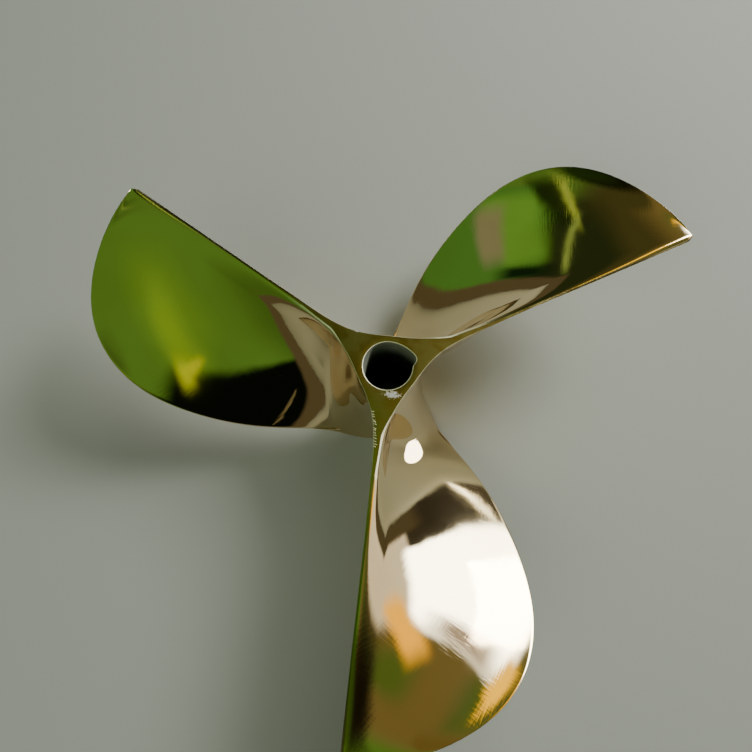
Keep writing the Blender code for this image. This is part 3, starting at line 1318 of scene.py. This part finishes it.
@dataclass(frozen=True)
class BronzeFinish:
    """One finish of the bronze.

    Its depths are those of its bumps. A pit's radius is a share of the distance between pits.
    """

    name: str
    colour: Colour
    worn_colour: Colour
    rough_low: float
    rough_high: float
    cloud_scale: float
    line_depth: float
    pit_density: float
    pit_share: float
    pit_radius: float
    pit_depth: float
    grain_depth: float = 0.0
    metallic: float = 1.0
    lines_on_map: bool = True
    marks: tuple[Mark, ...] = ()

    def build(self) -> bpy.types.Material:
        """Make the material.

        Returns:
            The new material.
        """
        material = bpy.data.materials.new(self.name)
        material.use_nodes = True
        graph = Graph(material.node_tree)
        shader = material.node_tree.nodes["Principled BSDF"]
        shader.inputs["Metallic"].default_value = self.metallic
        place = graph.node("ShaderNodeTexCoord").outputs["Object"]
        flat = graph.node("ShaderNodeUVMap", {"uv_map": FACE_MAP}).outputs["UV"]
        cloud = graph.group(clouds(), Vector=place, Scale=self.cloud_scale)
        hole = graph.group(pits(), Vector=place, Density=self.pit_density, Share=self.pit_share,
                           Radius=self.pit_radius)
        lines = graph.group(polish_lines(), Vector=flat if self.lines_on_map else place, Amount=1.0)
        colour = graph.blend(cloud.outputs["Broad"], self.colour, self.worn_colour)
        colour = graph.blend(hole.outputs["Mask"], colour, PIT_COLOUR)
        colour, dull = self._marks(graph, place, colour)
        graph.feed(shader.inputs["Base Color"], colour)
        rough = graph.ramp(cloud.outputs["Broad"], 0.0, 1.0, self.rough_low, self.rough_high)
        if dull is not None:
            rough = graph.math("MAXIMUM", rough, dull)
            graph.feed(shader.inputs["Metallic"], graph.math("SUBTRACT", 1.0, dull))
        graph.feed(shader.inputs["Roughness"], rough)
        normal = self._bump(graph, lines.outputs["Height"], self.line_depth, None)
        normal = self._bump(graph, hole.outputs["Height"], self.pit_depth, normal)
        if self.grain_depth:
            normal = self._bump(graph, cloud.outputs["Fine"], self.grain_depth, normal)
        graph.feed(shader.inputs["Normal"], normal)
        return material

    def _marks(self, graph: Graph, place: Socket, colour: Socket) -> tuple[Socket, Socket | None]:
        """Lay the marks on the metal.

        Args:
            graph: the material's nodes.
            place: position on the object.
            colour: the metal's own colour.

        Returns:
            The colour with the marks, and a mask of the dull ones, or None where there are none.
        """
        dull = None
        for mark in self.marks:
            turn = math.radians(mark.heading)
            spot = graph.group(smudge(), Vector=place, Centre=mark.centre,
                               Along=(math.cos(turn), math.sin(turn), 0.0),
                               Across=(-math.sin(turn), math.cos(turn), 0.0),
                               Length=mark.length, Width=mark.width,
                               Grain=mark.grain).outputs["Mask"]
            colour = graph.blend(spot, colour, mark.colour)
            if mark.chalky:
                dull = spot if dull is None else graph.math("MAXIMUM", dull, spot)
        return colour, dull

    @staticmethod
    def _bump(graph: Graph, height: Socket, depth: float, below: Socket | None) -> Socket:
        """A bump on top of an earlier one.

        Args:
            graph: the material's nodes.
            height: height of the bump's form.
            depth: how deep it is at a height of 1, in metres.
            below: the earlier bump's normal, or None.

        Returns:
            The new normal.
        """
        made = graph.node("ShaderNodeBump", Strength=1.0, Distance=depth, Height=height)
        if below is not None:
            graph.feed(made.inputs["Normal"], below)
        return made.outputs["Normal"]


@dataclass(frozen=True)
class GroundFinish(BronzeFinish):
    """The land's finish, which is stained towards the tips."""

    stain_from: float = 0.045
    stain_to: float = 0.105
    stain: Colour = (0.28, 0.24, 0.10, 1.0)

    def _marks(self, graph: Graph, place: Socket, colour: Socket) -> tuple[Socket, Socket | None]:
        """The colour with the stain and the marks, and a mask of the dull ones."""
        stained = graph.group(away_from_axis(), Vector=place, From=self.stain_from, To=self.stain_to)
        return super()._marks(graph, place, graph.blend(stained.outputs["Mask"], colour, self.stain))


@dataclass(frozen=True)
class FiledFinish(BronzeFinish):
    """The edges' finish: dull and pale from the file near the hub, polished further out."""

    filed: Colour = (0.88, 0.84, 0.56, 1.0)
    filed_to: float = 0.040
    polished_from: float = 0.078
    dullness: float = 0.5

    def _marks(self, graph: Graph, place: Socket, colour: Socket) -> tuple[Socket, Socket | None]:
        """Lay the filed colour on the metal near the hub.

        Args:
            graph: the material's nodes.
            place: position on the object.
            colour: the metal's own colour.

        Returns:
            The colour, and a mask of how dull the metal is.
        """
        polished = graph.group(away_from_axis(), Vector=place, From=self.filed_to,
                               To=self.polished_from)
        colour = graph.blend(polished.outputs["Mask"], self.filed, colour)
        dull = graph.ramp(polished.outputs["Mask"], 0.0, 1.0, self.dullness, 0.0)
        return colour, dull


@dataclass(frozen=True)
class BoreFinish(BronzeFinish):
    """The bore's finish, with painted shade that darkens it from its rim down."""

    # Painted shade: between these heights the wall turns from its own colour to the dark one below
    painted_shade_from: float = 0.090
    painted_shade_to: float = 0.064
    # Colour of the painted shade deep in the bore
    dark: Colour = (0.03, 0.035, 0.025, 1.0)

    def _marks(self, graph: Graph, place: Socket, colour: Socket) -> tuple[Socket, Socket | None]:
        """The colour, with painted shade that darkens it with depth."""
        height = graph.node("ShaderNodeSeparateXYZ", Vector=place).outputs["Z"]
        return graph.blend(graph.ramp(height, self.painted_shade_to, self.painted_shade_from), self.dark, colour), None


POLISHED = {
    "colour": (0.80, 0.64, 0.38, 1.0), "worn_colour": (0.74, 0.58, 0.32, 1.0),
    "rough_low": 0.035, "rough_high": 0.085, "cloud_scale": 16.0, "line_depth": 0.0000055,
    "pit_density": 300.0, "pit_share": 0.006, "pit_radius": 0.12, "pit_depth": 0.00006}
# Painted dark reflections on the outer parts of the third and the first blade
PAINTED_REFLECTION_STREAKS = (
    Mark((-0.0785, -0.1365, 0.085), 61.0, 0.046, 0.016, PAINTED_DIM_REFLECTION, chalky=False, grain=0.4),
    Mark((0.1625, 0.0605, 0.080), -54.0, 0.044, 0.009, PAINTED_DARK_REFLECTION, chalky=False, grain=0.4))
FINISHES = {
    Finish.MIRROR: BronzeFinish("mirror_bronze", marks=PAINTED_REFLECTION_STREAKS, **POLISHED),
    Finish.GROUND: GroundFinish(
        "ground_bronze", (0.62, 0.50, 0.13, 1.0), (0.46, 0.42, 0.13, 1.0),
        rough_low=0.15, rough_high=0.24, cloud_scale=60.0, line_depth=0.00002,
        pit_density=600.0, pit_share=0.03, pit_radius=0.20, pit_depth=0.00005,
        grain_depth=0.000004, lines_on_map=False,
        marks=(Mark((-0.0041, -0.0156, 0.091), -31.0, 0.0054, 0.0025),
               Mark((-0.0075, 0.0245, 0.091), 118.0, 0.0013, 0.0009))),
    Finish.BORED: BoreFinish(
        "bored_bronze", (0.52, 0.55, 0.44, 1.0), (0.40, 0.44, 0.32, 1.0),
        rough_low=0.38, rough_high=0.50, cloud_scale=90.0, line_depth=0.00002,
        pit_density=500.0, pit_share=0.05, pit_radius=0.25, pit_depth=0.00005,
        grain_depth=0.000006, metallic=0.45),
    Finish.RAW: FiledFinish("filed_bronze", **POLISHED),
}


# Stage


@dataclass(frozen=True)
class Panel:
    """One soft-edged panel of the studio, far away, as the polished blades mirror it.

    Its middle and its heading are on a flat map of the sky: the zenith is in the map's middle, and a
    point is as many degrees east (+X) and north (+Y) of it as it is from the zenith.
    """

    name: str
    east: float
    north: float
    length: float
    width: float
    heading: float
    colour: tuple[float, float, float]
    soft: float = 0.4

    @staticmethod
    def _direction(east: float, north: float) -> Vector:
        """Direction to a point of the map.

        Args:
            east: degrees east of the zenith.
            north: degrees north of the zenith.

        Returns:
            The direction, as a unit vector.
        """
        zenith, azimuth = math.radians(math.hypot(east, north)), math.atan2(north, east)
        return Vector((math.sin(zenith) * math.cos(azimuth), math.sin(zenith) * math.sin(azimuth),
                       math.cos(zenith)))

    def axes(self) -> tuple[Vector, Vector, Vector]:
        """Directions that place the panel.

        Returns:
            Unit vectors to its middle, along its length and along its width.
        """
        middle = self._direction(self.east, self.north)
        turn = math.radians(self.heading)
        ahead = self._direction(self.east + math.cos(turn), self.north + math.sin(turn)) - middle
        along = (ahead - ahead.dot(middle) * middle).normalized()
        return middle, along, middle.cross(along)


# How far ahead a direction has to point for a panel to show in it
LEAST_AHEAD = 0.001


def soft_panel() -> Tree:
    """Mask of a soft-edged rectangle seen in a direction.

    Returns:
        The node group.
    """

    def fill(graph: Graph, given: Node) -> Made:
        """Add the group's nodes.

        Args:
            graph: the group's tree.
            given: the node that holds the group's inputs.

        Returns:
            What each output shows.
        """
        ahead = graph.measure("DOT_PRODUCT", given.outputs["Direction"], given.outputs["Middle"])
        safe = graph.math("MAXIMUM", ahead, LEAST_AHEAD)
        mask = graph.math("GREATER_THAN", ahead, LEAST_AHEAD)
        inner = graph.math("SUBTRACT", 1.0, given.outputs["Soft"])
        outer = graph.math("ADD", 1.0, given.outputs["Soft"])
        for axis, size in (("Along", "Length"), ("Across", "Width")):
            beside = graph.measure("DOT_PRODUCT", given.outputs["Direction"], given.outputs[axis])
            side = graph.math("ABSOLUTE", graph.math("DIVIDE", beside, safe))
            share = graph.math("DIVIDE", side, given.outputs[size])
            mask = graph.math("MULTIPLY", mask, graph.ramp(share, inner, outer, 1.0, 0.0))
        return {"Mask": mask}

    return new_group(Shared.SOFT_PANEL,
                     {"Direction": VECTOR, "Middle": VECTOR, "Along": VECTOR, "Across": VECTOR,
                      "Length": VALUE, "Width": VALUE, "Soft": VALUE}, {"Mask": VALUE}, fill)


STUDIO_BASE: Colour = (0.022, 0.034, 0.012, 1.0)
HORIZON_COLOUR: Colour = (0.10, 0.085, 0.05, 1.0)
HORIZON_TOP = 8.0
HORIZON_SOFT = 1.5
# Each panel lies in front of those before it
PANELS = (
    Panel("left side", -38, -25.5, 97, 118, 90, (0.10, 0.25, 0.045), 0.12),
    Panel("left low", -82, -14, 130, 46, 90, (0.065, 0.155, 0.03), 0.8),
    Panel("left glow", -26, -12, 28, 20, 80, (0.15, 0.34, 0.04), 0.9),
    Panel("left streak", -24, -19, 22, 9, 100, (0.23, 0.46, 0.04), 0.95),
    Panel("left far", -20, 30, 30, 18, 0, (0.10, 0.23, 0.045), 0.5),
    Panel("dark front", -8, -62, 64, 44, 70, (0.003, 0.005, 0.003), 0.12),
    Panel("yellow spot", -18, -29, 8, 4.0, 124, (0.60, 0.80, 0.02), 0.9),
    Panel("yellow spot side", -22.0, -29.5, 6, 3.5, 0, (0.60, 0.75, 0.02), 0.7),
    Panel("back olive", 20, 30, 52, 30, 24, (0.062, 0.062, 0.021), 0.35),
    Panel("back green", -22, 61, 52, 42, 70, (0.075, 0.23, 0.045), 0.12),
    Panel("back bright green", -7, 56, 36, 13, 56, (0.14, 0.38, 0.06), 0.35),
    Panel("grey patch", -14.5, 58, 24, 7, 70, (0.24, 0.26, 0.17), 0.5),
    Panel("strip shade", -6.4, 41.5, 32, 4.2, 42, (0.012, 0.025, 0.006), 0.5),
    Panel("back dark low", 7, 77, 16, 8, -12, (0.006, 0.02, 0.006), 0.6),
    Panel("strip high", -4.5, 39.3, 30, 1.8, 42, (0.40, 0.56, 0.10), 0.6),
    Panel("strip low", 14.5, 60.5, 28, 1.8, 54, (0.30, 0.46, 0.12), 0.6),
    Panel("overhead", 31, 2, 60, 34, 90, (0.20, 0.165, 0.06), 0.30),
    Panel("overhead green", 33, -19, 16, 12, 90, (0.10, 0.17, 0.035), 0.7),
    Panel("overhead olive", 29, 18, 18, 12, 90, (0.09, 0.16, 0.035), 0.7),
    Panel("overhead edge", 24, -26, 36, 8, 160, (0.03, 0.03, 0.015), 0.6),
    Panel("overhead near", 12, 9, 18, 14, 0, (0.165, 0.13, 0.04), 0.35),
    Panel("pale side", 69, -25, 46, 28, 0, (1.15, 1.1, 1.0), 0.2),
    Panel("key box", 56, 13, 37, 32, 117, (12.0, 13.0, 14.0), 0.2),
    Panel("key corner", 62, -1, 24, 24, 0, (12.0, 13.0, 14.0), 0.2),
    Panel("key margin", 43.5, 4.5, 26, 5, 117, (0.60, 0.50, 0.46), 0.6),
    Panel("gap under key", 83, 12, 36, 21, 100, (0.05, 0.045, 0.03), 0.10),
    Panel("pale front", 44, -56, 44, 16, 50, (1.1, 1.0, 0.9), 0.5),
    Panel("amber", 47, -18, 19, 8, 140, (1.9, 1.0, 0.04), 0.5),
    Panel("amber low", 31.5, 22, 8, 8, 60, (2.1, 1.25, 0.05), 0.5),
)
# These lie in front of the dim band along the horizon
LOW_PANELS = (
    Panel("low gap", 84.5, 18, 26, 14, 100, (0.045, 0.04, 0.03), 0.4),
    Panel("bright slit", 77.5, 30.5, 16, 0.9, 21.4, (11.0, 11.0, 10.0), 0.5),
)
BACKDROP: Colour = (0.33, 0.345, 0.32, 1.0)
FLOOR_COLOUR: Colour = (0.61, 0.64, 0.58, 1.0)


@dataclass(frozen=True)
class SoftBox:
    """One soft light, which faces the hub unless it is given another aim.

    A light that isn't mirrored doesn't show in polished faces. One that doesn't light the floor only
    shows in them. Its stretch is its height over its width, where its shape has two sizes.
    """

    name: str
    place: tuple[float, float, float]
    size: float
    power: float
    colour: tuple[float, float, float]
    aim: tuple[float, float, float] = (0.0, 0.0, 0.05)
    mirrored: bool = False
    lights_floor: bool = True
    shape: str = "SQUARE"
    stretch: float = 1.0

    def build(self) -> None:
        """Make the light."""
        data = bpy.data.lights.new(self.name, "AREA")
        data.shape = self.shape
        data.size = self.size
        data.size_y = self.size * self.stretch
        data.energy = self.power
        data.color = self.colour
        light = new_object(self.name, data)
        light.location = self.place
        ahead = Vector(self.aim) - Vector(self.place)
        light.rotation_euler = ahead.to_track_quat("-Z", "Y").to_euler()
        light.visible_camera = False
        light.visible_glossy = self.mirrored
        light.visible_diffuse = self.lights_floor


SOFT_BOXES = (
    SoftBox("key", (1.16, 0.30, 1.00), 0.55, 12.5, (1.0, 0.98, 0.96), mirrored=True),
    SoftBox("fill east", (1.5, 1.0, 2.0), 2.0, 16.0, (0.92, 1.0, 0.84)),
    SoftBox("fill west", (-1.7, -0.9, 2.0), 2.0, 16.0, (0.90, 1.0, 0.80)),
    SoftBox("root glint", (0.0054, -0.0390, 0.0430), 0.0108, 0.0065, (1.0, 1.0, 1.0),
            aim=(-0.0266, -0.0636, 0.0135), mirrored=True, lights_floor=False, shape="ELLIPSE",
            stretch=2.2),
)


@dataclass
class Stage:
    """Floor, studio, lights and camera.

    The camera's turn is the axis that it turns about, as long as the angle in radians.
    """

    floor_size: float = 6.4
    floor_gap: float = 0.0003
    floor_roughness: float = 0.8
    fade_from: float = 0.9
    camera_place: tuple[float, float, float] = (-0.0347, -0.0844, 0.3885)
    camera_turn: tuple[float, float, float] = (0.2813, -0.0318, -0.4067)
    focal_pixels: float = 591.25
    image_pixels: float = 752.0
    sensor: float = 36.0
    clip_start: float = 0.01

    def build(self) -> None:
        """Make the whole stage."""
        self._floor()
        self._world()
        self._lights()
        self._camera()

    def _floor(self) -> None:
        """A plain pale floor under the hub."""
        mesh = bmesh.new()
        bmesh.ops.create_grid(mesh, x_segments=1, y_segments=1, size=self.floor_size / 2)
        bmesh.ops.translate(mesh, verts=mesh.verts, vec=(0, 0, -self.floor_gap))
        data = bpy.data.meshes.new("floor")
        mesh.to_mesh(data)
        mesh.free()
        material = bpy.data.materials.new("pale_floor")
        material.use_nodes = True
        shader = material.node_tree.nodes["Principled BSDF"]
        shader.inputs["Base Color"].default_value = FLOOR_COLOUR
        shader.inputs["Roughness"].default_value = self.floor_roughness
        shader.inputs["Specular IOR Level"].default_value = 0.0
        # The floor fades into the backdrop, and seen from below it gives way to the part
        graph = Graph(material.node_tree)
        place = graph.node("ShaderNodeTexCoord").outputs["Object"]
        far = graph.group(away_from_axis(), Vector=place, From=self.fade_from, To=self.floor_size / 2)
        behind = graph.node("ShaderNodeNewGeometry").outputs["Backfacing"]
        hidden = graph.math("MAXIMUM", behind, far.outputs["Mask"])
        graph.feed(shader.inputs["Alpha"], graph.math("SUBTRACT", 1.0, hidden))
        data.materials.append(material)
        new_object("floor", data)

    def _world(self) -> None:
        """The studio that the polished faces mirror: dim surroundings with soft panels in them."""
        world = bpy.data.worlds.new("studio")
        bpy.context.scene.world = world
        world.use_nodes = True
        graph = Graph(world.node_tree)
        direction = graph.node("ShaderNodeTexCoord").outputs["Generated"]
        colour = self._hang(graph, direction, PANELS, STUDIO_BASE)
        height = graph.node("ShaderNodeSeparateXYZ", Vector=direction).outputs["Z"]
        low, high = (math.sin(math.radians(HORIZON_TOP + side * HORIZON_SOFT)) for side in (-1, 1))
        colour = graph.blend(graph.ramp(height, low, high, 1.0, 0.0), colour, HORIZON_COLOUR)
        colour = self._hang(graph, direction, LOW_PANELS, colour)
        # The camera itself sees a plain backdrop
        seen = graph.node("ShaderNodeLightPath").outputs["Is Camera Ray"]
        background = world.node_tree.nodes["Background"]
        graph.feed(background.inputs["Color"], graph.blend(seen, colour, BACKDROP))
        world.cycles_visibility.diffuse = False

    @staticmethod
    def _hang(graph: Graph, direction: Socket, panels: tuple[Panel, ...], colour: object) -> Socket:
        """Hang panels in front of the surroundings.

        Args:
            graph: the world's nodes.
            direction: the direction that is looked in.
            panels: the panels, from the farthest to the nearest.
            colour: the colour behind them.

        Returns:
            The colour with the panels in front of it.
        """
        for panel in panels:
            middle, along, across = panel.axes()
            mask = graph.group(soft_panel(), Direction=direction, Middle=middle, Across=across,
                               Along=along, Length=math.tan(math.radians(panel.length / 2)),
                               Width=math.tan(math.radians(panel.width / 2)), Soft=panel.soft)
            mask.label = panel.name
            colour = graph.blend(mask.outputs["Mask"], colour, (*panel.colour, 1.0))
        return colour

    def _lights(self) -> None:
        """Soft boxes that light the floor and the rougher faces."""
        for box in SOFT_BOXES:
            box.build()

    def _camera(self) -> None:
        """The camera, where the photograph was taken from."""
        data = bpy.data.cameras.new("camera")
        data.sensor_width = self.sensor
        data.lens = self.focal_pixels / self.image_pixels * self.sensor
        data.clip_start = self.clip_start
        camera = new_object("camera", data)
        turn = Vector(self.camera_turn)
        place = Matrix.Translation(self.camera_place)
        camera.matrix_world = place @ Matrix.Rotation(turn.length, 4, turn.normalized())
        bpy.context.scene.camera = camera


def main() -> None:
    """Build the propeller's looks and the stage round it."""
    logging.basicConfig(level=logging.INFO, format="%(name)s: %(message)s")
    materials = [FINISHES[finish].build() for finish in Finish]
    casting = Casting().build(materials)
    burrs = Burrs(ArmForm()).build(materials[Finish.RAW.value])
    for piece in (casting, burrs):
        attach(piece, BODY)
        LOG.info("%s: placed, %d faces", piece.name, len(piece.data.polygons))
    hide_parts(NODE)
    Stage().build()
    LOG.info("stage: floor, %d panels, %d lights and camera", len(PANELS + LOW_PANELS), len(SOFT_BOXES))


if __name__ == "__main__":
    main()
